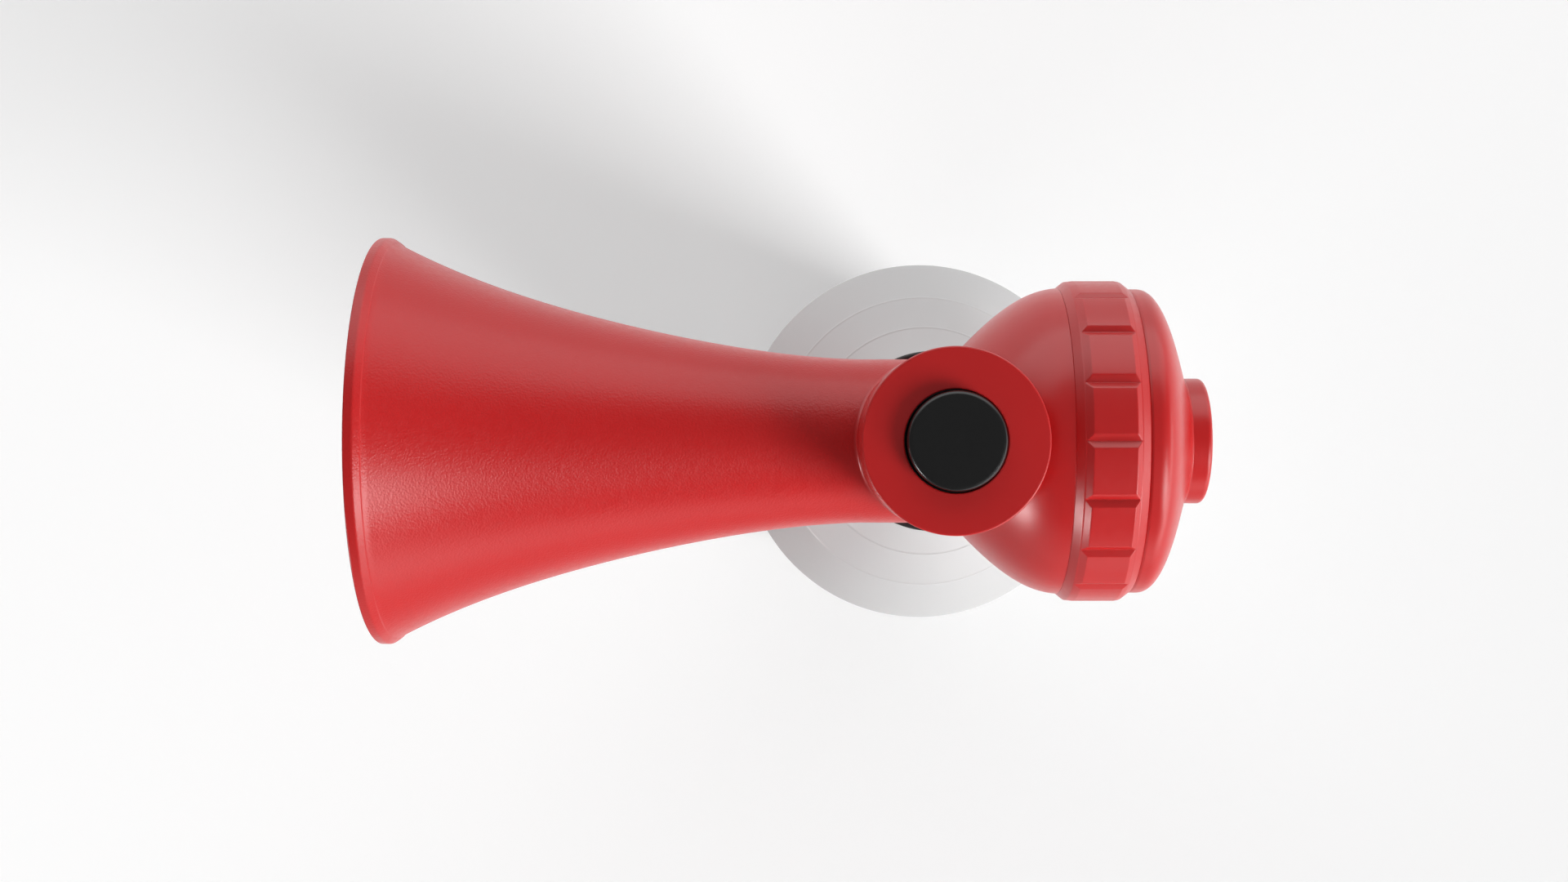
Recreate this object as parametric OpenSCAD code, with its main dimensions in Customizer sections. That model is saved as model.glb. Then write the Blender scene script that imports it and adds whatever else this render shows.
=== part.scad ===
// Hand-held gas horn: pressurised can, valve, swivelling horn head,
// push button and a screw-on rear cap that clamps the diaphragm.
// Origin: can axis at the floor. +Z up, the bell opens toward -X.

/* [Can] */
// Outer radius of the can wall
can_r = 33; // [30:0.5:36]
// Height of the shoulder edge above the floor
can_h = 135; // [100:1:180]
// Wall thickness of the can
can_wall = 0.5; // [0.4:0.1:0.8]
// How far the base is domed inward
base_dome = 9; // [6:0.5:12]

/* [Collar] */
// Outer radius of the black collar
collar_r = 15.37; // [14.8:0.01:15.6]

/* [Bell] */
// Radius of the bell at its lip
bell_r = 32.3; // [29:0.1:34]
// Length from the lip to where the neck turns straight
bell_len = 75.65; // [65:0.05:85]
// Wall thickness of the bell
bell_wall = 1.8; // [1.5:0.1:1.9]
// Outer radius of the straight neck
neck_r = 13.05; // [12.8:0.01:13.2]

/* [Tower and button] */
// Outer radius of the tower
tower_r = 13.93; // [13.8:0.01:14.2]
// Wall thickness of the tower and the chamber
shell_wall = 2; // [1.8:0.05:2.05]
// Radius of the button
button_r = 7.33; // [6.8:0.01:7.6]
// Radial gap between the button and its hole
button_gap = 0.31; // [0.2:0.01:0.4]
// How far the button stands above the lid
button_proud = 2.8; // [2.4:0.1:4]

/* [Chamber and ring] */
// Largest radius of the chamber dome
dome_r = 24.38; // [24.3:0.01:24.5]
// Outer radius of the clamp ring over its pads
ring_r = 25.4; // [25.2:0.1:26]
// Number of grip pads round the clamp ring
pad_count = 18; // [12:2:24]
// Height the grip pads stand above the ring
pad_height = 0.3; // [0.2:0.02:0.5]
// Radius of the boss on the rear cap
boss_r = 9.97; // [8:0.01:10.2]

/* [Hidden] */
$fn = 96;
fine_fn = 144;  // large turned surfaces
cord_fn = 24;   // round sections of O-rings and the can's bead
cut = 1;        // how far a cutter passes the face it opens
overlap = 0.01; // how far joined solids run into each other
fit = 0.02;     // gap between parts that touch

// Heights
cup_top = can_h + 27;          // top of the valve cup's curl
cup_curl_r = 1.7;              // outer section radius of the curl
curl_z = cup_top - cup_curl_r; // centre of the curl's section
curl_r = 13.9;                 // radius of the circle the curl follows
ped_top = cup_top - 2.5;       // top of the valve pedestal
housing_top = ped_top - 0.9;   // top of the valve housing
stem_top = cup_top + 6;
clip_z = cup_top + 2;
collar_top = cup_top + 6.7;
swivel_gap = 0.2;              // between the collar and the tower
port_z = cup_top + 9.2;        // gas port into the chamber
adapter_oring_heights = [cup_top + 6.6, cup_top + 13.9];
block_top = cup_top + 15.4;    // floor of the tower's cavity
yoke_z = cup_top + 17.9;       // underside of the yoke
axis_z = cup_top + 27.7;       // horn axis
plate_z = cup_top + 47.6;      // underside of the yoke's top plate
lid_z = cup_top + 53.2;        // underside of the lid
tower_top = lid_z + 2;
button_top = tower_top + button_proud;

// Vertical parts
housing_bore_depth = 9.9;
stem_flange = 2.6;             // thickness of the valve stem's flange
spigot_r = 9;                  // head spigot that turns in the collar
tower_bore_r = tower_r - shell_wall;
saddle_base = 3.5;             // saddle's underside above the horn axis
saddle_h = 6;

// Horn stations along X
neck_x = -13.25;
lip_x = neck_x - bell_len;
lip_len = 1.25;
flare_x = lip_x + 2.6;         // where the outer flare starts
ring_x0 = 18;
ring_x1 = 29.05;
seat_x = 24;                   // end face of the chamber
diaphragm_x0 = 24.6;
diaphragm_x1 = 24.8;
slip_x = 25.4;                 // bell-side face of the slip ring
cap_x0 = ring_x1 + fit;
boss_x1 = 41.35;

// Parts round the horn axis
neck_bore_r = 9.5;
throat_r = 7;
throat_oring_x = 15.05;
thread_r = 23;                 // chamber spigot inside the clamp ring
chamber_bore_r = 21;
diaphragm_r = 22.8;
ring_bore_r = 20.6;

red = [0.62, 0.03, 0.04];
black = [0.03, 0.03, 0.03];
rubber = [0.06, 0.06, 0.06];
metal = [0.8, 0.8, 0.82];
steel = [0.55, 0.56, 0.58];
white = [0.9, 0.9, 0.88];

function arc(cx, cy, r, from, to, steps) =
    [for (i = [0:steps]) let (angle = from + (to - from) * i / steps)
        [cx + r * cos(angle), cy + r * sin(angle)]];

// Station i of n equal steps between two places
function station(from, to, i, n) = from + (to - from) * i / n;

// Bell radius at a station along X, a quartic in the distance from the neck
function flare_t(x) = (neck_x - x) / 73.5;
function bell_flare(x) = neck_r + 1.841 * flare_t(x) + 26.243 * pow(flare_t(x), 2)
    - 23.341 * pow(flare_t(x), 3) + 13.698 * pow(flare_t(x), 4);

// Chamber dome outer radius at a station along X
function dome_out(x) = dome_r * pow(1 - pow(abs(x - 18.935) / 44.556, 2.085), 3.968);

// Rear cap outer radius at a station along X
function cap_out(x) = 24.19 * exp(-pow(max(0, x - 30.35) / 7.94, 2.57));

// Revolves a [radius, x] profile round the horn axis
module revolve_x() {
    translate([0, 0, axis_z]) rotate([0, 90, 0]) rotate_extrude($fn = fine_fn) children();
}

// Cylinder on the horn axis
module cyl_x(r, x0, x1) {
    translate([x0, 0, axis_z]) rotate([0, 90, 0]) cylinder(r = r, h = x1 - x0);
}

// Pipe on the horn axis
module pipe_x(outer, inner, x0, x1) {
    difference() {
        cyl_x(outer, x0, x1);
        cyl_x(inner, x0 - cut, x1 + cut);
    }
}

// Cylinder on the can axis
module cyl_z(r, z, h) {
    translate([0, 0, z]) cylinder(r = r, h = h);
}

// Pipe on the can axis
module ring(outer, inner, z0, z1) {
    difference() {
        cyl_z(outer, z0, z1 - z0);
        cyl_z(inner, z0 - cut, z1 - z0 + 2 * cut);
    }
}

// Disc on the can axis with a rounded top edge
module rounded_disc(r, z0, z1, edge, steps = 6) {
    rotate_extrude() polygon(concat(
        [[0, z0], [r, z0]],
        arc(r - edge, z1 - edge, edge, 0, 90, steps),
        [[0, z1]]));
}

// Coil spring whose wire fills the height from z0 to z1
module coil(coil_r, wire_r, turns, z0, z1) {
    sides = 8;
    n = floor(turns * 22);
    rise = z1 - z0 - 2 * wire_r;
    points = [for (i = [0:n]) for (j = [0:sides - 1])
        let (turn = 360 * turns * i / n,
             around = 360 * j / sides + 22.5,
             r = coil_r + wire_r * cos(around))
        [r * cos(turn), r * sin(turn), z0 + wire_r + rise * i / n + wire_r * sin(around)]];
    faces = concat(
        [[for (j = [0:sides - 1]) j]],
        [[for (j = [sides - 1:-1:0]) n * sides + j]],
        [for (i = [0:n - 1]) for (j = [0:sides - 1])
            [i * sides + j, (i + 1) * sides + j, (i + 1) * sides + (j + 1) % sides]],
        [for (i = [0:n - 1]) for (j = [0:sides - 1])
            [i * sides + j, (i + 1) * sides + (j + 1) % sides, i * sides + (j + 1) % sides]]);
    polyhedron(points = points, faces = faces, convexity = 8);
}

// ---------------------------------------------------------------- can side

module can_body() {
    foot_r = can_r - 8.5;
    heel_r = 5.7;
    upper_r = can_r * 0.619; // upper and lower bends of the shoulder
    lower_r = can_r * 0.795;
    neck_half = 0.25;
    sheet = 0.35;
    n = 8;
    color(metal) union() {
        rotate_extrude($fn = fine_fn) polygon(concat(
            // outside: base, heel, wall, shoulder, neck
            [for (i = [0:n]) [foot_r * i / n, base_dome * (1 - pow(i / n, 2))]],
            arc(can_r - heel_r, heel_r, heel_r, -90, 0, 8),
            [[can_r, can_h - 1], [can_r - 0.25, can_h], [can_r - 0.9, can_h + 0.9],
             [lower_r, can_h + 8.4], [upper_r, can_h + 14.6],
             [curl_r + neck_half, can_h + 20.2], [curl_r + neck_half, curl_z]],
            // inside, back down
            [[curl_r - neck_half, curl_z], [curl_r - neck_half, can_h + 19.9],
             [upper_r - sheet, can_h + 14.15], [lower_r - sheet, can_h + 7.95],
             [can_r - can_wall - 0.8, can_h + 0.45], [can_r - can_wall, can_h - 1.2]],
            arc(can_r - heel_r, heel_r, heel_r - can_wall, 0, -90, 8),
            [for (i = [n:-1:0])
                [(foot_r + 0.2) * i / n, can_wall + base_dome * (1 - pow(i / n, 2))]]));
        // bead under the valve cup's curl
        rotate_extrude($fn = fine_fn) translate([curl_r, curl_z]) circle(r = 1.15, $fn = cord_fn);
    }
}

module cup_gasket() {
    color(rubber) rotate_extrude($fn = fine_fn) polygon(concat(
        arc(curl_r, curl_z, 1.38, 0, 180, 12),
        arc(curl_r, curl_z, 1.17, 180, 0, 12)));
}

module valve_cup() {
    sheet = 0.3;
    floor_z = cup_top - 8;
    ped_r = 5.6;
    hole_r = 2.4;
    inner_curl_r = cup_curl_r - sheet;
    color(metal) rotate_extrude($fn = fine_fn) polygon(concat(
        arc(curl_r, curl_z, cup_curl_r, -40, 180, 16),
        [[curl_r - cup_curl_r, floor_z], [ped_r, floor_z], [ped_r, ped_top], [hole_r, ped_top],
         [hole_r, ped_top - sheet], [ped_r - sheet, ped_top - sheet],
         [ped_r - sheet, floor_z - sheet], [curl_r - inner_curl_r, floor_z - sheet]],
        arc(curl_r, curl_z, inner_curl_r, 180, -40, 16)));
}

module valve_housing() {
    color(white) difference() {
        union() {
            cyl_z(5.25, housing_top - 1.8, 1.8);
            cyl_z(4, housing_top - 11.4, 11.4);
            cyl_z(2, housing_top - 15.4, 4.5);
        }
        cyl_z(3.1, housing_top - housing_bore_depth, 12);
        cyl_z(0.9, housing_top - 16, 8);
    }
}

module stem_gasket() {
    color(rubber) ring(5.2, 2.05, housing_top + fit, ped_top - 0.32);
}

module valve_stem() {
    flange_top = housing_top - fit;
    color(white) difference() {
        union() {
            cyl_z(2, flange_top - overlap, stem_top - flange_top + overlap);
            cyl_z(3, flange_top - stem_flange, stem_flange);
            cyl_z(1.4, flange_top - 4.8, 2.4);
        }
        // bore, and a side hole toward -X
        cyl_z(0.9, flange_top + 1.3, 12);
        translate([-3, 0, flange_top + 1.8]) rotate([0, 90, 0]) cylinder(r = 0.4, h = 3);
    }
}

module valve_spring() {
    color(steel) coil(coil_r = 2.35, wire_r = 0.3, turns = 5,
        z0 = housing_top - housing_bore_depth + fit,
        z1 = housing_top - stem_flange - 2 * fit);
}

module can_collar() {
    color(black) difference() {
        union() {
            rounded_disc(collar_r, cup_top + 0.03, collar_top, edge = 0.4, steps = 4);
            cyl_z(12.15, cup_top - 6.5, 7);
        }
        cyl_z(spigot_r + 0.06, cup_top + 3, 6);
        cyl_z(10.8, cup_top - 7, 10);
    }
}

// Clip with its gap toward +X
module collar_clip() {
    gap = 3;
    color(steel) difference() {
        ring(10.3, 8.12, clip_z, clip_z + 0.9);
        translate([0, -gap / 2, clip_z - cut]) cube([12, gap, 3]);
    }
}

// ---------------------------------------------------------------- head

module head_housing() {
    n = 16;
    dome_x0 = 1;
    dome_x1 = 17.95;
    cavity_x0 = dome_x0 + 2;
    cavity_x1 = 18.5;
    color(red) difference() {
        union() {
            // tower with its solid base
            cyl_z(tower_r, collar_top + swivel_gap, lid_z - collar_top - swivel_gap,
                $fn = fine_fn);
            // chamber shell and the threaded spigot
            difference() {
                revolve_x() polygon(concat(
                    [[0, dome_x0]],
                    [for (i = [0:n]) let (x = station(dome_x0, dome_x1, i, n)) [dome_out(x), x]],
                    [[thread_r, dome_x1], [thread_r, seat_x], [0, seat_x]]));
                // chamber cavity, kept clear of the floor above the collar
                difference() {
                    revolve_x() polygon(concat(
                        [[0, cavity_x0]],
                        [for (i = [0:n]) let (x = station(cavity_x0, cavity_x1, i, n))
                            [min(chamber_bore_r, dome_out(x - 0.6) - shell_wall), x]],
                        [[chamber_bore_r, seat_x + cut], [0, seat_x + cut]]));
                    cyl_z(17.8, collar_top - 10, 12.2);
                }
            }
            // sleeve that holds the throat tube
            cyl_x(9.6, 8, 17);
            // spigot into the collar
            cyl_z(spigot_r, cup_top + 1, 9);
        }
        // room for the collar to turn in
        difference() {
            cyl_z(15.8, collar_top - 12, 12 + swivel_gap, $fn = fine_fn);
            cyl_z(spigot_r, collar_top - 13, 14);
        }
        // groove for the clip
        ring(9.5, 8.1, clip_z - fit, clip_z + 0.95);
        // cavity of the tower
        cyl_z(tower_bore_r, block_top, 60);
        // plunger bore, gas port, throat bore and neck socket
        cyl_z(5.05, cup_top, 20);
        translate([3, 0, port_z]) rotate([0, 90, 0]) cylinder(r = 1.4, h = 13);
        cyl_x(throat_r + 0.06, 6, 18);
        cyl_x(11.15, -16, -6.4);
    }
}

module tower_lid() {
    color(red) difference() {
        union() {
            rounded_disc(tower_r, lid_z, tower_top, edge = 0.5, $fn = fine_fn);
            cyl_z(tower_bore_r - 0.05, lid_z - 2, 2.5);
        }
        // button hole, and the wider recess for the button's flange
        cyl_z(button_r + button_gap, lid_z - 3, 10);
        cyl_z(9.7, lid_z - 3, 3);
    }
}

module horn_bell() {
    n = 28;
    neck_end = -4;
    color(red) union() {
        difference() {
            revolve_x() polygon(concat(
                [[bell_r, lip_x], [bell_r, lip_x + lip_len]],
                [for (i = [0:n]) let (x = station(flare_x, neck_x, i, n))
                    [min(bell_r, bell_flare(x)), x]],
                [[neck_r, neck_end], [neck_bore_r, neck_end], [neck_bore_r, -9]],
                // inside, where the wall thickens toward the neck
                [for (i = [n:-1:0]) let (
                    x = station(lip_x, neck_x - 1, i, n),
                    extra = 1.75 * (1 - min(1, flare_t(x) * 2.4)))
                    [max(neck_bore_r, bell_flare(x) - bell_wall - extra), x]]));
            // the neck ends against the tower
            cyl_z(tower_r + 0.03, axis_z - 20, 40, $fn = fine_fn);
        }
        // spigot in the tower's socket
        pipe_x(11.1, neck_bore_r, -15, -6.5);
    }
}

module throat_tube() {
    bore_r = 4.6;
    groove_r = 6;
    groove_half = 0.7;
    end_x = 24.58;
    color(black) revolve_x() polygon([
        [bore_r, end_x], [throat_r, end_x],
        [throat_r, throat_oring_x + groove_half], [groove_r, throat_oring_x + groove_half],
        [groove_r, throat_oring_x - groove_half], [throat_r, throat_oring_x - groove_half],
        // flared end toward the bell, then back along the bore
        [throat_r, -6], [9.45, -10], [9.45, -13], [9.1, -13], [7.2, -8], [5.6, -2],
        [bore_r, 8]]);
}

module throat_oring() {
    color(rubber) revolve_x() translate([6.52, throat_oring_x]) circle(r = 0.51, $fn = cord_fn);
}

module diaphragm() {
    color(steel) cyl_x(diaphragm_r, diaphragm_x0, diaphragm_x1);
}

// One gasket on each face of the diaphragm
module diaphragm_gaskets() {
    gap = 0.01;
    color(rubber) {
        pipe_x(diaphragm_r, chamber_bore_r, seat_x + gap, diaphragm_x0 - gap);
        pipe_x(diaphragm_r, chamber_bore_r, diaphragm_x1 + gap, slip_x - gap);
    }
}

module slip_ring() {
    color(white) pipe_x(22.9, ring_bore_r, slip_x, slip_x + 0.98);
}

module clamp_ring() {
    base_r = ring_r - pad_height;
    rim_r = 24.1;
    socket_r = thread_r + 0.06;
    lip_x0 = slip_x + 1; // the inner lip starts just past the slip ring
    groove_r = base_r - 0.05;
    groove_half = 3.2;
    groove_top = groove_r + groove_half * (pad_height + 0.05);
    color(red) difference() {
        revolve_x() polygon([
            [socket_r, ring_x0], [rim_r, ring_x0],
            [base_r, ring_x0 + 1.4], [base_r, ring_x0 + 1.6],
            [ring_r, ring_x0 + 2.5], [ring_r, ring_x1 - 2.75],
            [base_r, ring_x1 - 1.95], [base_r, ring_x1 - 1.75],
            [rim_r, ring_x1], [ring_bore_r, ring_x1],
            [ring_bore_r, lip_x0], [socket_r, lip_x0]]);
        // V grooves cut just into the ring leave chamfered grip pads standing
        for (i = [0:pad_count - 1])
            translate([0, 0, axis_z]) rotate([i * 360 / pad_count, 0, 0])
                translate([ring_x0 - cut, 0, 0]) rotate([90, 0, 90]) linear_extrude(height = 13)
                    polygon([[0, groove_r], [groove_half, groove_top],
                        [-groove_half, groove_top]]);
    }
}

module rear_cap() {
    n = 18;
    boss_x0 = 37.85;
    edge = 0.8;
    spigot_x0 = 26.8;
    cap_spigot_r = ring_bore_r - 0.05;
    hollow_r = 18.3;
    hollow_x1 = 36;
    color(red) revolve_x() polygon(concat(
        [[hollow_r, spigot_x0], [cap_spigot_r, spigot_x0], [cap_spigot_r, cap_x0]],
        [for (i = [0:n]) let (x = station(cap_x0, boss_x0, i, n)) [cap_out(x), x]],
        [[boss_r, boss_x0 + 0.4]],
        arc(boss_r - edge, boss_x1 - edge, edge, 0, 90, 6),
        // hollow inside, from the axis outward
        [[0, boss_x1], [0, hollow_x1], [7, hollow_x1], [13, 34.4], [16.8, 32.2],
         [hollow_r, 30]]));
}

// ---------------------------------------------------------------- plunger

module button() {
    base_z = lid_z - 2.6;
    color(black) difference() {
        union() {
            rounded_disc(button_r, base_z, button_top, edge = 0.55, $fn = fine_fn);
            cyl_z(9.4, base_z, 2.5);
        }
        cyl_z(5.4, base_z - cut, 6.6);
    }
}

// Round plate on two legs, one each side of the throat, joined by a bar below
module plunger_yoke() {
    width = 6;
    leg = 2;
    reach = 10.2;
    plate = 3;
    color(black) union() {
        cyl_z(10.6, plate_z, plate);
        cyl_z(5.3, plate_z + plate - overlap, 2.5);
        for (y = [reach - leg, -reach])
            translate([-width / 2, y, yoke_z]) cube([width, leg, plate_z - yoke_z + 1]);
        translate([-width / 2, -reach, yoke_z]) cube([width, 2 * reach, 2.4]);
    }
}

module spring_saddle() {
    color(black) difference() {
        cyl_z(5.9, axis_z + saddle_base, saddle_h);
        cyl_x(throat_r + fit, -10, 10);
    }
}

module return_spring() {
    color(steel) coil(coil_r = 4.3, wire_r = 0.45, turns = 5,
        z0 = axis_z + saddle_base + saddle_h + fit, z1 = plate_z - fit);
}

module stem_adapter() {
    base_z = cup_top + 2.5;
    side_z = cup_top + 10.4; // side holes and the wide groove round them
    side_half = 2.2;
    bore_r = 0.9;
    bore_top = cup_top + 11.3;
    color(white) difference() {
        cyl_z(5, base_z, yoke_z - fit - base_z);
        cyl_z(2.03, base_z - cut, stem_top + fit - base_z + cut);
        cyl_z(bore_r, base_z, bore_top - base_z);
        translate([-6, 0, side_z]) rotate([0, 90, 0]) cylinder(r = bore_r, h = 12);
        ring(6, 4.2, side_z - side_half, side_z + side_half);
        for (z = adapter_oring_heights) ring(6, 3.9, z - 0.8, z + 0.8);
    }
}

module adapter_orings() {
    color(rubber) for (z = adapter_oring_heights)
        rotate_extrude() translate([4.46, z]) circle(r = 0.55, $fn = cord_fn);
}

can_body();
valve_cup();
cup_gasket();
valve_housing();
stem_gasket();
valve_stem();
valve_spring();
can_collar();
collar_clip();
head_housing();
tower_lid();
horn_bell();
throat_tube();
throat_oring();
diaphragm();
diaphragm_gaskets();
slip_ring();
clamp_ring();
rear_cap();
button();
plunger_yoke();
spring_saddle();
return_spring();
stem_adapter();
adapter_orings();
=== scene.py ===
# A hand-held gas horn, standing upright. The can stands on z = 0 along the Z axis, with the
# head, its tower and the push button above. The horn axis runs along X at z = AXIS_Z: the bell
# opens towards -X and the rear cap closes the chamber at +X.
# Shapes are drawn in millimetres; the scene is in metres.
import bmesh
import bpy
import math
import numpy as np
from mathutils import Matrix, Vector


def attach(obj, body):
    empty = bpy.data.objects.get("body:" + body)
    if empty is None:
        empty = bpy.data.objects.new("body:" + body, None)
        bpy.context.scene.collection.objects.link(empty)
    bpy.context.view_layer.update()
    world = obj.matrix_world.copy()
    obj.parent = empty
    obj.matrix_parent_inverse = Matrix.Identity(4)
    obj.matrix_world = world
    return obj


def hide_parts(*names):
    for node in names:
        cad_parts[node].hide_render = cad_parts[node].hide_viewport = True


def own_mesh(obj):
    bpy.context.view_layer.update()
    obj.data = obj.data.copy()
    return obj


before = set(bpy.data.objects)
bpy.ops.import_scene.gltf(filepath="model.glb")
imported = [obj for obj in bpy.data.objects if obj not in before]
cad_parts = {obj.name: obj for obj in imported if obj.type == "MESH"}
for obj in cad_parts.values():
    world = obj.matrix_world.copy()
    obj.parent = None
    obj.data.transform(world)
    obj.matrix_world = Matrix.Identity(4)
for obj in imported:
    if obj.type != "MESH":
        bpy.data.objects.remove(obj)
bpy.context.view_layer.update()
scene = bpy.context.scene
MM = 0.001
AXIS_Z = 189.7          # height of the horn axis

# ------------------------------------------------------------------ node helpers


def feed(nt, socket, value):
    """Links a socket to another one, or gives it a fixed value."""
    if isinstance(value, bpy.types.NodeSocket):
        nt.links.new(value, socket)
    else:
        socket.default_value = value


def node(nt, kind, inputs=None, **props):
    """Adds a node; inputs maps a socket's name or index to a value or to a source socket."""
    new = nt.nodes.new(kind)
    for key, value in props.items():
        setattr(new, key, value)
    for key, value in (inputs or {}).items():
        feed(nt, new.inputs[key], value)
    return new


def math_node(nt, operation, a, b):
    return node(nt, "ShaderNodeMath", {0: a, 1: b}, operation=operation).outputs[0]


def vector_node(nt, operation, a, b):
    return node(nt, "ShaderNodeVectorMath", {0: a, 1: b}, operation=operation)


def remap(nt, value, source, target, kind="LINEAR"):
    """Maps the source range (low, high) onto the target range."""
    inputs = {"From Min": source[0], "From Max": source[1],
              "To Min": target[0], "To Max": target[1], "Value": value}
    return node(nt, "ShaderNodeMapRange", inputs, interpolation_type=kind).outputs["Result"]


def smooth_map(nt, value, source, target):
    return remap(nt, value, source, target, "SMOOTHSTEP")


def mix_color(nt, factor, first, second):
    mix = node(nt, "ShaderNodeMix", {0: factor, 6: (0, 0, 0, 1), 7: second}, data_type="RGBA")
    feed(nt, mix.inputs[6], first)
    return mix.outputs[2]


def grain(nt, coord, scale, detail, seed):
    inputs = {"Scale": scale, "Detail": detail, "Roughness": 0.55, "W": seed, "Vector": coord}
    return node(nt, "ShaderNodeTexNoise", inputs, noise_dimensions="4D").outputs["Fac"]


def spread(nt, noise, low, high):
    """Stretches the middle of a noise over low to high."""
    return remap(nt, noise, (0.3, 0.7), (low, high))


# ------------------------------------------------------------------ materials


def new_material(name):
    mat = bpy.data.materials.new(name)
    mat.use_nodes = True
    mat.node_tree.nodes.clear()
    return mat, mat.node_tree


def worn_color(nt, drift, color, tint, edge_span, wear, wear_color):
    """Colour drifting towards the tint, with wear_color on edges of high pointiness."""
    drifted = mix_color(nt, spread(nt, drift, 0.0, 1.0), (*color, 1), (*tint, 1))
    pointiness = node(nt, "ShaderNodeNewGeometry").outputs["Pointiness"]
    edge = remap(nt, pointiness, edge_span, (0.0, wear))
    return mix_color(nt, edge, drifted, (*wear_color, 1))


def finish_material(nt, bump, **inputs):
    """Closes a material: a Principled shader with the bump node as its normal."""
    named = {key.replace("_", " "): value for key, value in inputs.items()}
    shader = node(nt, "ShaderNodeBsdfPrincipled", {**named, "Normal": bump.outputs[0]})
    node(nt, "ShaderNodeOutputMaterial", {"Surface": shader.outputs[0]})


def leather_height(nt, coord, cell):
    """Rounded cells about cell mm across, pushed out of line by a noise."""
    warp = node(nt, "ShaderNodeTexNoise", {"Scale": 700.0 / cell, "Vector": coord})
    shifted = node(nt, "ShaderNodeVectorMath",
                   {0: warp.outputs["Color"], 1: (cell * 0.0006,) * 3, 2: coord},
                   operation="MULTIPLY_ADD")
    cells = node(nt, "ShaderNodeTexVoronoi",
                 {"Scale": 1000.0 / cell, "Smoothness": 0.6, "Vector": shifted.outputs[0]},
                 feature="SMOOTH_F1")
    return cells.outputs["Distance"]


def plastic(name, color, tint, rough, rough_var, cell, bump, seed, wear=0.05, wear_color=None,
            leather=False, coat=0.0, coat_rough=0.3, spec=0.5):
    """A moulded surface: colour drift, grain bump, roughness variation, faintly worn edges."""
    mat, nt = new_material(name)
    coord = node(nt, "ShaderNodeTexCoord").outputs["Object"]
    drift = grain(nt, coord, scale=45.0, detail=3.0, seed=seed)
    fine = grain(nt, coord, scale=900.0, detail=2.0, seed=seed + 3.1)
    if wear_color is None:
        wear_color = tuple(min(1.0, c * 1.5 + 0.02) for c in color)
    base = worn_color(nt, drift, color, tint, (0.53, 0.62), wear, wear_color)
    if leather:
        height = leather_height(nt, coord, cell)
    else:
        height = grain(nt, coord, scale=1000.0 / cell, detail=3.0, seed=seed + 7.7)
    bump_node = node(nt, "ShaderNodeBump",
                     {"Strength": bump, "Distance": cell * 0.00018, "Height": height})
    finish_material(nt, bump_node, Base_Color=base,
                    Roughness=spread(nt, fine, rough - rough_var, rough + rough_var),
                    Specular_IOR_Level=spec, Coat_Weight=coat, Coat_Roughness=coat_rough)
    return mat


def brushed(name, color, tint, rough, rough_var, stretch, bump, seed):
    """Worked metal: fine lines along one direction, drifting colour and roughness."""
    mat, nt = new_material(name)
    coord = node(nt, "ShaderNodeTexCoord").outputs["Object"]
    stretched = node(nt, "ShaderNodeMapping", {"Scale": stretch, "Vector": coord}).outputs[0]
    lines = grain(nt, stretched, scale=300.0, detail=4.0, seed=seed)
    drift = grain(nt, coord, scale=60.0, detail=3.0, seed=seed + 5.0)
    wear_color = tuple(min(1.0, c * 1.25) for c in color)
    base = worn_color(nt, drift, color, tint, (0.52, 0.6), 0.1, wear_color)
    bump_node = node(nt, "ShaderNodeBump",
                     {"Strength": bump, "Distance": 0.00002, "Height": lines})
    finish_material(nt, bump_node, Base_Color=base, Metallic=1.0,
                    Roughness=spread(nt, lines, rough - rough_var, rough + rough_var))
    return mat


RED = dict(color=(0.488, 0.0100, 0.0105), tint=(0.46, 0.0092, 0.0096))
red_grain = plastic("red_grained", **RED, rough=0.30, rough_var=0.02, cell=0.28, bump=0.10,
                    seed=2.6, wear=0.04, spec=0.58)
red_bell = plastic("red_bell_grained", **RED, rough=0.33, rough_var=0.04, cell=0.32, bump=0.42,
                   seed=1.5, leather=True, spec=0.46)
red_smooth = plastic("red_smooth", **RED, rough=0.31, rough_var=0.03, cell=0.25, bump=0.06,
                     seed=2.0, spec=0.6)
black_satin = plastic("black_satin", color=(0.0068, 0.0068, 0.0068),
                      tint=(0.0080, 0.0080, 0.0080), rough=0.24, rough_var=0.03, cell=0.3,
                      bump=0.03, seed=3.0, wear_color=(0.03, 0.03, 0.03))
black_mould = plastic("black_moulded", color=(0.012, 0.012, 0.012), tint=(0.018, 0.018, 0.018),
                      rough=0.5, rough_var=0.06, cell=0.4, bump=0.25, seed=4.0,
                      wear_color=(0.04, 0.04, 0.04), leather=True)
rubber = plastic("seal_rubber", color=(0.013, 0.013, 0.012), tint=(0.022, 0.021, 0.02),
                 rough=0.72, rough_var=0.08, cell=0.3, bump=0.35, seed=5.0,
                 wear_color=(0.03, 0.03, 0.03))
natural = plastic("natural_plastic", color=(0.74, 0.72, 0.64), tint=(0.68, 0.66, 0.57),
                  rough=0.42, rough_var=0.06, cell=0.5, bump=0.12, seed=6.0,
                  wear_color=(0.85, 0.84, 0.78))
lacquer = plastic("can_lacquer", color=(0.557, 0.557, 0.557), tint=(0.543, 0.544, 0.547),
                  rough=0.33, rough_var=0.03, cell=0.6, bump=0.05, seed=7.0, coat=0.25,
                  coat_rough=0.25, wear_color=(0.75, 0.75, 0.76))
tin = brushed("tinplate", color=(0.70, 0.69, 0.66), tint=(0.6, 0.59, 0.56), rough=0.26,
              rough_var=0.06, stretch=(1, 1, 10), bump=0.2, seed=9.0)
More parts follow.
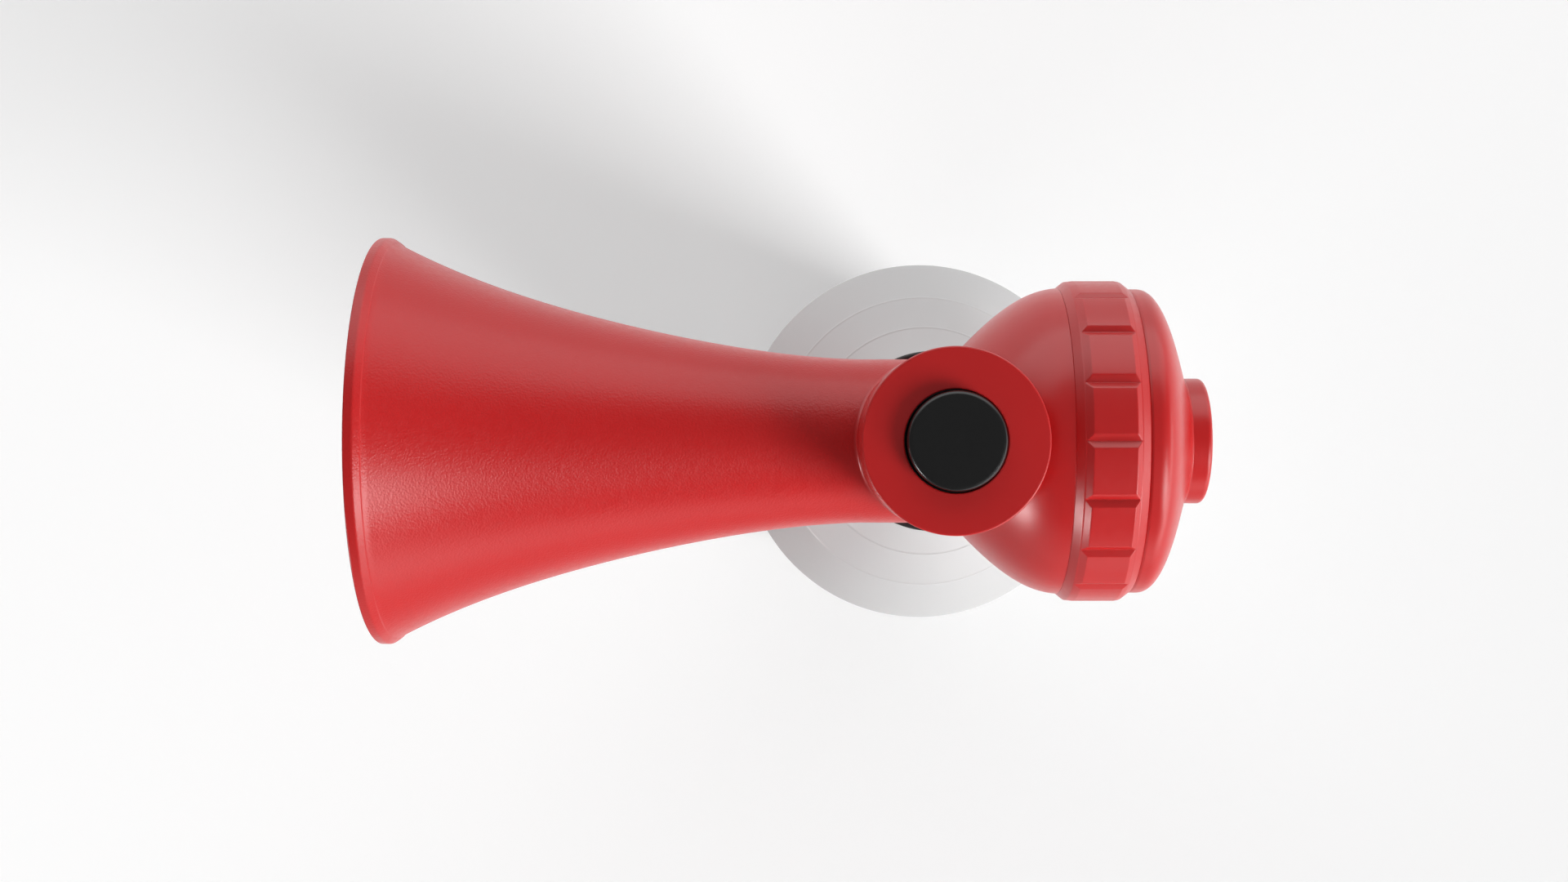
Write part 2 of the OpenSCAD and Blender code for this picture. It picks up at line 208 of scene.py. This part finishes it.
wire = brushed("spring_wire", color=(0.46, 0.46, 0.48), tint=(0.36, 0.36, 0.38), rough=0.3,
               rough_var=0.07, stretch=(1, 1, 3), bump=0.3, seed=10.0)
sheet = brushed("diaphragm_sheet", color=(0.62, 0.62, 0.64), tint=(0.53, 0.53, 0.56),
                rough=0.27, rough_var=0.06, stretch=(1, 12, 1), bump=0.25, seed=11.0)

# ------------------------------------------------------------------ mesh helpers


def slerp(a, b, sweep, t):
    """Turns vector a towards b, which lies sweep radians away."""
    return (math.sin((1 - t) * sweep) * a + math.sin(t * sweep) * b) / math.sin(sweep)


def angle_between(a, b):
    return math.acos(max(-1, min(1, float(a @ b))))


def fillet(points, steps):
    """Rounds an open polyline; a third number on a corner is its rounding radius."""
    rounded = [points[0]]
    for before, corner, after in zip(points, points[1:], points[2:]):
        p = np.array(corner[:2], float)
        if len(corner) == 2:
            rounded.append(tuple(p))
            continue
        back, ahead = np.array(before[:2]) - p, np.array(after[:2]) - p
        back_length, ahead_length = np.linalg.norm(back), np.linalg.norm(ahead)
        back, ahead = back / back_length, ahead / ahead_length
        angle = angle_between(back, ahead)
        half_tan = math.tan(angle / 2)
        cut = min(corner[2] / half_tan, back_length * 0.49, ahead_length * 0.49)
        bisector = (back + ahead) / np.linalg.norm(back + ahead)
        centre = p + bisector * (cut * half_tan / math.sin(angle / 2))
        start, end = p + back * cut - centre, p + ahead * cut - centre
        for k in range(steps + 1):
            rounded.append(tuple(centre + slerp(start, end, math.pi - angle, k / steps)))
    rounded.append(points[-1])
    return rounded


def support(points, step=2.5, near=0.12):
    """Adds support points so that flat runs keep flat normals next to a rounding."""
    out = [points[0]]
    for p, q in zip(points, points[1:]):
        length = math.dist(p, q)
        if length > 3 * near:
            count = math.ceil(length / step)
            inside = [k / count for k in range(1, count)]
            for t in sorted([near / length, *inside, 1 - near / length]):
                out.append((p[0] + (q[0] - p[0]) * t, p[1] + (q[1] - p[1]) * t))
        out.append(q)
    return out


def place(axis, station, across, up):
    """A point at a station along the can axis Z, or along the horn axis X."""
    return (up, across, station) if axis == "Z" else (station, across, AXIS_Z + up)


def revolve(profile, axis, segments):
    """Verts and faces of a (radius, station) profile turned about an axis, its ends joined.

    A point of radius 0 is a single pole; two poles in a row are left unjoined.
    """
    verts, faces, rows = [], [], []
    for radius, station in profile:
        count = 1 if radius < 1e-6 else segments
        rows.append(range(len(verts), len(verts) + count))
        for k in range(count):
            angle = 2 * math.pi * k / segments
            verts.append(place(axis, station, math.sin(angle) * radius,
                               math.cos(angle) * radius))
    for a, b in zip(rows, rows[1:] + rows[:1]):
        if len(a) == len(b) == 1:
            continue
        for k in range(segments):
            following = (k + 1) % segments
            if len(a) == 1:
                face = [a[0], b[following], b[k]]
            elif len(b) == 1:
                face = [a[k], a[following], b[0]]
            else:
                face = [a[k], a[following], b[following], b[k]]
            faces.append(face if axis == "Z" else face[::-1])
    return verts, faces


def grid_faces(rows, columns, wrap_rows):
    """Quads over vertices stored row by row; each row is a closed loop."""
    faces = []
    for i in range(rows if wrap_rows else rows - 1):
        low, high = i * columns, (i + 1) % rows * columns
        for j in range(columns):
            following = (j + 1) % columns
            faces.append([low + j, low + following, high + following, high + j])
    return faces


def join(parts):
    verts, faces = [], []
    for part_verts, part_faces in parts:
        offset = len(verts)
        verts += part_verts
        faces += [[i + offset for i in face] for face in part_faces]
    return verts, faces


def weight_normals(obj):
    obj.modifiers.new("normals", "WEIGHTED_NORMAL").keep_sharp = True


def face_outwards(mesh):
    bm = bmesh.new()
    bm.from_mesh(mesh)
    bmesh.ops.recalc_face_normals(bm, faces=bm.faces)
    bm.to_mesh(mesh)
    bm.free()


def make_piece(name, shape, mat, body, cad_name):
    """Builds an object from (verts, faces) in mm; it rides a body and replaces a CAD piece."""
    verts, faces = shape
    mesh = bpy.data.meshes.new(name)
    mesh.from_pydata([tuple(np.array(v) * MM) for v in verts], [], faces)
    mesh.validate()
    mesh.update()
    mesh.polygons.foreach_set("use_smooth", [True] * len(mesh.polygons))
    mesh.materials.append(mat)
    obj = bpy.data.objects.new(name, mesh)
    scene.collection.objects.link(obj)
    weight_normals(obj)
    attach(obj, body)
    face_outwards(mesh)
    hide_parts(cad_name)
    return obj


# ------------------------------------------------------------------ shapes
# Profiles are (radius, station[, corner rounding]): x on the horn axis, z on the can axis.

# horn bell: flaring outer wall, rolled lip at the mouth, inner wall back to the throat
NECK_X, NECK_R = -13.25, 13.05
FLARE_LENGTH = 73.5
MOUTH_X = -86.35        # where the flare meets the lip
THROAT_R = 9.5


def flare(x):
    return (NECK_X - x) / FLARE_LENGTH


def bell_radius(x):
    s = flare(x)
    return NECK_R + 1.841 * s + 26.243 * s ** 2 - 23.341 * s ** 3 + 13.698 * s ** 4


def bell_inner_radius(x):
    """The wall is 1.8 thick at the mouth and thickens by 1.75 towards the neck."""
    return max(THROAT_R, bell_radius(x) - 1.8 - 1.75 * (1 - min(1, flare(x) * 2.4)))


bell_outer = [(NECK_R, x) for x in np.linspace(-4.6, -12.5, 6)]
bell_outer += [(bell_radius(x), x) for x in np.linspace(NECK_X, MOUTH_X, 90)]
bell_lip = fillet([(bell_radius(MOUTH_X), MOUTH_X), (31.62, -86.5, 0.15), (32.3, -87.45, 0.8),
                   (32.3, -88.9, 0.28), (30.6, -88.9, 0.5), (29.6, -87.4)], 7)[1:-1]
bell_inner = [(bell_inner_radius(x), x) for x in np.linspace(-86.0, -14.25, 70)]
bell_inner += [(THROAT_R, -9), (THROAT_R, -6.5), (11.1, -6.5), (11.1, -4.6)]
make_piece("horn_bell_shell", revolve(bell_outer + bell_lip + bell_inner, "X", 288), red_bell,
           "head", "horn_bell")

# head housing: tower, chamber dome, and a fillet where the tower meets the neck
TOWER_R, TOWER_TOP, HEAD_BASE = 13.93, 215.2, 168.9
DOME_END = 17.99
tower = fillet([(11.93, 177.4), (11.93, TOWER_TOP), (TOWER_R, TOWER_TOP, 0.15),
                (TOWER_R, HEAD_BASE, 0.3), (9.0, HEAD_BASE), (9.0, 163.0, 0.3), (5.05, 163.0),
                (5.05, 177.4)], 4)


def dome_radius(x):
    return 24.38 * (1 - (abs(x - 18.935) / 44.556) ** 2.085) ** 3.968


def dome_shape():
    """The chamber shell, left open inside the tower's wall so the plunger has its room."""
    profile = [(dome_radius(x), x) for x in np.linspace(0.9, 17.9, 60)]
    profile += fillet([(dome_radius(17.9), 17.9), (dome_radius(DOME_END), DOME_END),
                       (23.0, DOME_END), (23.0, 24.0, 0.3), (21.0, 24.0), (21.0, 19.0)], 4)[1:]
    profile += [(min(21.0, dome_radius(x - 0.6) - 2.0), x) for x in np.linspace(18.5, 3.0, 40)]
    verts, faces = revolve(profile, "X", 288)
    keep_radius, keep_below = 13.0, 169.0
    outside = [math.hypot(x, y) > keep_radius or z < keep_below for x, y, z in verts]
    return verts, [face for face in faces if any(outside[i] for i in face)]


def tower_fillet(ball, neck, tower_radius, around=240, across=7):
    """The trace of a ball rolled along the neck and the -X side of the tower (all radii)."""
    overlap = 0.08      # share of the arc by which each edge runs on into the walls
    verts, faces = [], []
    for i in range(around):
        angle = 2 * math.pi * i / around
        y, z = (neck + ball) * math.sin(angle), (neck + ball) * math.cos(angle)
        x = -math.sqrt((tower_radius + ball) ** 2 - y * y)
        centre = np.array([x, y, AXIS_Z + z])
        to_tower = -np.array([x, y, 0.0]) / (tower_radius + ball)
        to_neck = -np.array([0.0, y, z]) / (neck + ball)
        sweep = angle_between(to_tower, to_neck)
        for j in range(across):
            t = -overlap + (1 + 2 * overlap) * j / (across - 1)
            verts.append(tuple(centre + ball * slerp(to_tower, to_neck, sweep, t)))
    for i in range(around):
        for j in range(across - 1):
            p, q = i * across + j, (i + 1) % around * across + j
            faces.append([p, q, q + 1, p + 1])
    return verts, faces


head_parts = [revolve(support(tower), "Z", 256), dome_shape(),
              tower_fillet(ball=0.55, neck=13.12, tower_radius=TOWER_R)]
make_piece("head_housing_shell", join(head_parts), red_grain, "head", "head_housing")

# lid of the tower
lid = fillet([(7.64, 213.2), (7.64, 217.2, 0.2), (TOWER_R, 217.2, 0.3),
              (TOWER_R, TOWER_TOP, 0.08), (11.88, TOWER_TOP), (11.88, 213.2)], 6)
make_piece("tower_lid_disc", revolve(support(lid, 1.2), "Z", 256), red_smooth, "head",
           "tower_lid")

# push button, with a wider skirt under the lid
button = fillet([(0, 220.0), (7.33, 220.0, 0.75), (7.33, 215.1), (9.4, 215.1, 0.2),
                 (9.4, 212.6, 0.2), (5.4, 212.6), (5.4, 215.6), (0, 215.6)], 9)
make_piece("button_cap", revolve(support(button, 1.0), "Z", 192), black_satin, "plunger",
           "button")

# rear cap with its boss
CAP_END = 37.75         # where the rounded cap meets the boss


def cap_radius(x):
    return 24.19 * math.exp(-((max(0.0, x - 30.35) / 7.94) ** 2.57))


cap = [(18.3, 26.8), (20.55, 26.8), (20.55, 29.07), (24.0, 29.07)]
cap += [(cap_radius(x), x) for x in np.linspace(29.5, CAP_END, 70)]
cap += fillet([(cap_radius(CAP_END), CAP_END), (9.97, 38.25, 0.25), (9.97, 41.35, 0.8),
               (0, 41.35)], 8)[1:]
cap += [(0, 36.0), (7, 36.0), (13, 34.4), (16.8, 32.2), (18.3, 30.0)]
make_piece("rear_cap_shell", revolve(support(cap, 1.6), "X", 288), red_grain, "cap",
           "rear_cap")

# clamp ring with raised, chamfered grip pads, moulded in two halves so that the relief
# fades towards the parting line on the +Y and -Y sides
RING_R = 25.37
RING_SEGMENTS = 1440
PAD_RELIEF, PAD_PITCH = 0.70, 20            # mm, degrees
PAD_FLANK, PAD_ARC_R = 1.02, 25.6           # side chamfer width; radius it is measured at
PAD_FRONT, PAD_REAR = (19.35, 20.37), (27.62, 26.85)         # x at foot and top of chamfer
# body chamfers at the two ends: (x, radius) where each starts, x where it reaches RING_R
RING_FRONT, RING_FRONT_END = (17.62, 24.05), 19.25
RING_REAR, RING_REAR_END = (29.3, 24.1), 27.66
RING_BORE = [(20.6, 29.02), (20.6, 26.4), (23.06, 26.4), (23.06, 18.0)]      # (radius, x)


def smooth_min(a, b, blend):
    h = np.clip(0.5 + 0.5 * (b - a) / blend, 0, 1)
    return b * (1 - h) + a * h - blend * h * (1 - h)


def ring_shape():
    xs = np.concatenate([np.linspace(18.0, 20.9, 44), np.linspace(21.2, 26.2, 10),
                         np.linspace(26.45, 29.05, 40)])
    angles = np.arange(RING_SEGMENTS) * 2 * math.pi / RING_SEGMENTS
    half = PAD_PITCH / 2
    from_groove = np.abs((np.degrees(angles) + half) % PAD_PITCH - half)[:, None]
    # pad height: 0 at the foot of the chamfers, 1 on the flat
    pad = smooth_min(np.radians(from_groove) * PAD_ARC_R / PAD_FLANK,
                     (xs - PAD_FRONT[0]) / (PAD_FRONT[1] - PAD_FRONT[0]), 0.12)
    pad = smooth_min(pad, (PAD_REAR[0] - xs) / (PAD_REAR[0] - PAD_REAR[1]), 0.12)
    pad = np.maximum(smooth_min(pad, 1.0, 0.10), 0.0)
    relief = pad * PAD_RELIEF * np.abs(np.cos(angles))[:, None] ** 0.8

    def chamfer(start, end_x):
        x, radius = start
        return radius + (xs - x) * (RING_R - radius) / (end_x - x)

    base = smooth_min(chamfer(RING_FRONT, RING_FRONT_END),
                      chamfer(RING_REAR, RING_REAR_END), 0.10)
    radii = smooth_min(base, RING_R, 0.12) + relief
    verts = []
    for angle, row in zip(angles, radii):
        for radius, x in [*zip(row, xs), *RING_BORE]:
            verts.append(place("X", x, math.sin(angle) * radius, math.cos(angle) * radius))
    return verts, grid_faces(RING_SEGMENTS, len(xs) + len(RING_BORE), wrap_rows=True)


make_piece("clamp_ring_grip", ring_shape(), red_smooth, "cap", "clamp_ring")

# can: domed base, rounded foot, straight wall, stepped shoulder, rolled bead, inner wall
CAN_R, CAN_WALL = 33, 0.5
FOOT_ROUND = 5.7
DOME_RISE = 9
BEAD_R, BEAD_Z, BEAD_ROUND = 13.9, 160.3, 1.15


def base_dome(edge_radius, edge_z, fractions):
    return [(edge_radius * t, edge_z + DOME_RISE * (1 - t * t)) for t in fractions]


def arc(radius, z, rounding, angles):
    """Points round a centre, with the angle measured from straight down."""
    return [(radius + rounding * math.sin(a), z - rounding * math.cos(a)) for a in angles]


foot_centre = (CAN_R - FOOT_ROUND, FOOT_ROUND)
can = base_dome(24.5, 0, np.linspace(0, 1, 24))
can += arc(*foot_centre, FOOT_ROUND, np.linspace(0, math.pi / 2, 14))
can += fillet([(CAN_R, 5.8), (CAN_R, 134.6, 1.1), (26.42, 143.16, 0.2), (26.30, 143.45, 0.2),
               (26.04, 143.61, 0.2), (20.62, 149.41, 0.2), (20.50, 149.66, 0.2),
               (20.23, 149.79, 0.2), (14.15, 155.2, 1.2), (14.15, 159.6)], 5)[1:]
can += arc(BEAD_R, BEAD_Z, BEAD_ROUND, np.linspace(-0.9, math.pi, 16) + math.pi / 2)
can += [(12.9, 159.6), (13.65, 158.9), (13.65, 155.0), (20.0, 149.1), (25.8, 142.9),
        (32.2, 135.3), (CAN_R - CAN_WALL, 133.8), (CAN_R - CAN_WALL, 6)]
can += arc(*foot_centre, FOOT_ROUND - CAN_WALL, np.linspace(math.pi / 2, 0, 10))
can += base_dome(24.7, CAN_WALL, np.linspace(1, 0, 16))
make_piece("can_shell", revolve(support(can, 6.0, 0.3), "Z", 288), lacquer, "can", "can_body")

# collar between can and head
collar = fillet([(9.06, 165.0), (9.06, 168.7, 0.15), (15.37, 168.7, 0.45), (15.37, 162.05, 0.2),
                 (12.15, 162.05), (12.15, 155.5, 0.4), (10.8, 155.5), (10.8, 165.0)], 6)
make_piece("can_collar_ring", revolve(support(collar, 1.5), "Z", 192), black_mould, "can",
           "can_collar")


# springs: closed end coils
def coil_shape(coil_radius, wire_radius, bottom, top, turns=5, per_turn=40, sides=14):
    closed_turns = 0.85
    closed_rise = closed_turns * 2 * wire_radius * 1.03
    count = turns * per_turn
    turn = np.linspace(0, turns, count + 1)
    low, high = bottom + wire_radius, top - wire_radius
    height = np.interp(turn, [0, closed_turns, turns - closed_turns, turns],
                       [low, low + closed_rise, high - closed_rise, high])
    # a running mean of 9 softens the changes of pitch
    height = np.convolve(np.pad(height, 4, mode="edge"), np.ones(9) / 9, mode="valid")
    verts = []
    for t, z in zip(turn, height):
        a = 2 * math.pi * t
        for j in range(sides):
            b = 2 * math.pi * j / sides
            radius = coil_radius + wire_radius * math.cos(b)
            verts.append((radius * math.cos(a), radius * math.sin(a),
                          z + wire_radius * math.sin(b)))
    faces = grid_faces(count + 1, sides, wrap_rows=False)
    faces.append(list(range(sides - 1, -1, -1)))
    faces.append([count * sides + j for j in range(sides)])
    return verts, faces


# CAD name, body, coil radius, wire radius, bottom z, top z, motion, squash factor
SPRINGS = [
    ("return_spring", "head", 4.3, 0.45, 199.22, 209.58, "button_press", 0.788),
    ("valve_spring", "can", 2.35, 0.3, 148.72, 155.96, "stem_press", 0.696),
]
for cad_name, body, coil_radius, wire_radius, bottom, top, motion, factor in SPRINGS:
    spring = make_piece(cad_name + "_coil", coil_shape(coil_radius, wire_radius, bottom, top),
                        wire, body, cad_name)
    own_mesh(spring)

# ------------------------------------------------------------------ CAD pieces that stay
FINISHES = {
    "valve_cup": tin, "cup_gasket": rubber, "valve_housing": natural, "stem_gasket": rubber,
    "valve_stem": natural, "collar_clip": wire, "throat_tube": black_mould,
    "throat_oring": rubber, "diaphragm": sheet, "diaphragm_gaskets": rubber,
    "slip_ring": natural, "plunger_yoke": black_mould, "spring_saddle": black_mould,
    "stem_adapter": natural, "adapter_orings": rubber,
}
for name, mat in FINISHES.items():
    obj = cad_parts[name]
    obj.data.materials.clear()
    obj.data.materials.append(mat)
    obj.data.polygons.foreach_set("use_smooth", [True] * len(obj.data.polygons))
    obj.modifiers.new("split", "EDGE_SPLIT").split_angle = math.radians(32)
    weight_normals(obj)

# ------------------------------------------------------------------ stage and lights
AIM = Vector((0, 0, 0.155))     # the point all lamps face
KEY = dict(azimuth=-0.58, elevation=0.567, distance=0.914)
KEY_SIZE, KEY_POWER = (0.378, 0.567), 7.5
# light on the floor besides the key, its even brightness, and its least own glow
FLOOR_AMBIENT, FLOOR_LEVEL, FLOOR_GLOW = 0.42, 0.935, 0.10
FLOOR_HALF = 6


def direction(azimuth, elevation):
    return Vector((math.cos(elevation) * math.cos(azimuth),
                   math.cos(elevation) * math.sin(azimuth), math.sin(elevation)))


def floor_material():
    mat, nt = new_material("floor_pale")
    key_direction = direction(KEY["azimuth"], KEY["elevation"])
    key_position = AIM + key_direction * KEY["distance"]
    position = node(nt, "ShaderNodeNewGeometry").outputs["Position"]

    # the sheet is darker where the near lamp is stronger, so the lit floor looks even
    to_key = vector_node(nt, "SUBTRACT", tuple(key_position), position).outputs[0]
    squared, height, along = (
        vector_node(nt, "DOT_PRODUCT", to_key, other).outputs["Value"]
        for other in (to_key, (0, 0, 1), tuple(key_direction)))
    lit = math_node(nt, "DIVIDE", math_node(nt, "MULTIPLY", height, along),
                    math_node(nt, "MULTIPLY", squared, squared))
    lit = math_node(nt, "MULTIPLY", lit, KEY_POWER / math.pi ** 2)
    lit = math_node(nt, "ADD", lit, FLOOR_AMBIENT)
    albedo = math_node(nt, "DIVIDE", FLOOR_LEVEL - FLOOR_GLOW, lit)
    albedo = math_node(nt, "MINIMUM", albedo, 0.97)
    color = node(nt, "ShaderNodeCombineXYZ", {0: albedo, 1: albedo, 2: albedo}).outputs[0]
    glow = math_node(nt, "SUBTRACT", FLOOR_LEVEL, math_node(nt, "MULTIPLY", albedo, lit))
    pale = node(nt, "ShaderNodeBsdfPrincipled", {
        "Base Color": color, "Roughness": 0.9, "Specular IOR Level": 0.0,
        "Emission Color": (1, 1, 1, 1), "Emission Strength": glow})

    # glossy rays see the floor dimmer towards -Y, fading out towards +X
    axes = node(nt, "ShaderNodeSeparateXYZ", {0: position}).outputs
    dim = math_node(nt, "MULTIPLY", smooth_map(nt, axes["Y"], (-0.30, -0.08), (0.55, 0.0)),
                    smooth_map(nt, axes["X"], (0.10, 0.45), (1.0, 0.0)))
    is_glossy = node(nt, "ShaderNodeLightPath").outputs["Is Glossy Ray"]
    dark = node(nt, "ShaderNodeEmission", {"Strength": 0.0})
    mix = node(nt, "ShaderNodeMixShader", {0: math_node(nt, "MULTIPLY", dim, is_glossy),
                                           1: pale.outputs[0], 2: dark.outputs[0]})
    node(nt, "ShaderNodeOutputMaterial", {"Surface": mix.outputs[0]})
    return mat


floor_mesh = bpy.data.meshes.new("floor")
floor_mesh.from_pydata([(x * FLOOR_HALF, y * FLOOR_HALF, 0)
                        for x, y in ((-1, -1), (1, -1), (1, 1), (-1, 1))], [], [(0, 1, 2, 3)])
floor = bpy.data.objects.new("floor", floor_mesh)
scene.collection.objects.link(floor)
floor_mesh.materials.append(floor_material())


def area_light(name, azimuth, elevation, distance, size, power):
    lamp = bpy.data.lights.new(name, "AREA")
    lamp.shape = "RECTANGLE"
    lamp.size, lamp.size_y = size
    lamp.energy = power
    obj = bpy.data.objects.new(name, lamp)
    away = direction(azimuth, elevation)
    obj.location = AIM + away * distance
    obj.rotation_euler = away.to_track_quat("Z", "Y").to_euler()
    scene.collection.objects.link(obj)
    return obj


# the key is split: one lamp lights surfaces, a smaller one makes the highlights
key = area_light("key", **KEY, size=KEY_SIZE, power=KEY_POWER)
key.visible_glossy = False
sheen = area_light("key_sheen", **KEY, size=(0.55 * KEY_SIZE[0], 0.6 * KEY_SIZE[1]),
                   power=0.75 * KEY_POWER)
sheen.visible_diffuse = False
fill = area_light("fill_low", azimuth=math.radians(-107), elevation=math.radians(9),
                  distance=2.4, size=(2.6, 0.6), power=24.0)
fill.visible_glossy = False
soft = area_light("soft_left", azimuth=math.radians(-140), elevation=math.radians(11),
                  distance=1.2, size=(0.34, 0.22), power=5.0)
soft.visible_diffuse = False


def build_world():
    """Studio surroundings by direction; the camera itself sees a plain pale grey."""
    world = bpy.data.worlds.new("studio")
    scene.world = world
    world.use_nodes = True
    nt = world.node_tree
    nt.nodes.clear()
    coord = node(nt, "ShaderNodeTexCoord").outputs["Generated"]
    x, y, z = node(nt, "ShaderNodeSeparateXYZ", {0: coord}).outputs
    # broad panel on the +Y side
    panel = math_node(nt, "MULTIPLY", smooth_map(nt, z, (0.60, 0.72), (1.0, 0.0)),
                      smooth_map(nt, y, (0.4, 0.8), (0.0, 1.0)))
    panel = math_node(nt, "MULTIPLY", panel, 1.65)
    # bright low strip towards +X and -Y
    toward = math_node(nt, "ADD", math_node(nt, "MULTIPLY", x, 0.84),
                       math_node(nt, "MULTIPLY", y, -0.54))
    strip = math_node(nt, "MULTIPLY", smooth_map(nt, toward, (0.62, 0.90), (0.0, 3.4)),
                      smooth_map(nt, z, (0.05, 0.28), (1.0, 0.0)))
    # soft band round the horizon, weak towards -Y
    around = math_node(nt, "MULTIPLY", smooth_map(nt, z, (0.0, 0.2), (0.58, 0.0)),
                       smooth_map(nt, y, (-0.75, -0.2), (0.08, 1.0)))
    horizon = math_node(nt, "ADD", around, strip)
    ambient = 0.18
    level = math_node(nt, "ADD", math_node(nt, "ADD", panel, horizon), ambient)
    studio = node(nt, "ShaderNodeBackground", {"Color": (1, 1, 1, 1), "Strength": level})
    backdrop = node(nt, "ShaderNodeBackground", {"Color": (0.93, 0.93, 0.93, 1)})
    is_camera = node(nt, "ShaderNodeLightPath").outputs["Is Camera Ray"]
    mix = node(nt, "ShaderNodeMixShader",
               {0: is_camera, 1: studio.outputs[0], 2: backdrop.outputs[0]})
    node(nt, "ShaderNodeOutputWorld", {0: mix.outputs[0]})


build_world()

# the camera is left unrotated, so it looks along -Z
camera_data = bpy.data.cameras.new("camera")
camera_data.sensor_width = 36
camera_data.lens = 45.94
camera_data.clip_end = 30
camera = bpy.data.objects.new("camera", camera_data)
camera.location = (-0.02525, 0, 0.5097)
scene.collection.objects.link(camera)
scene.camera = camera
scene.view_settings.view_transform = "Standard"
scene.view_settings.look = "None"
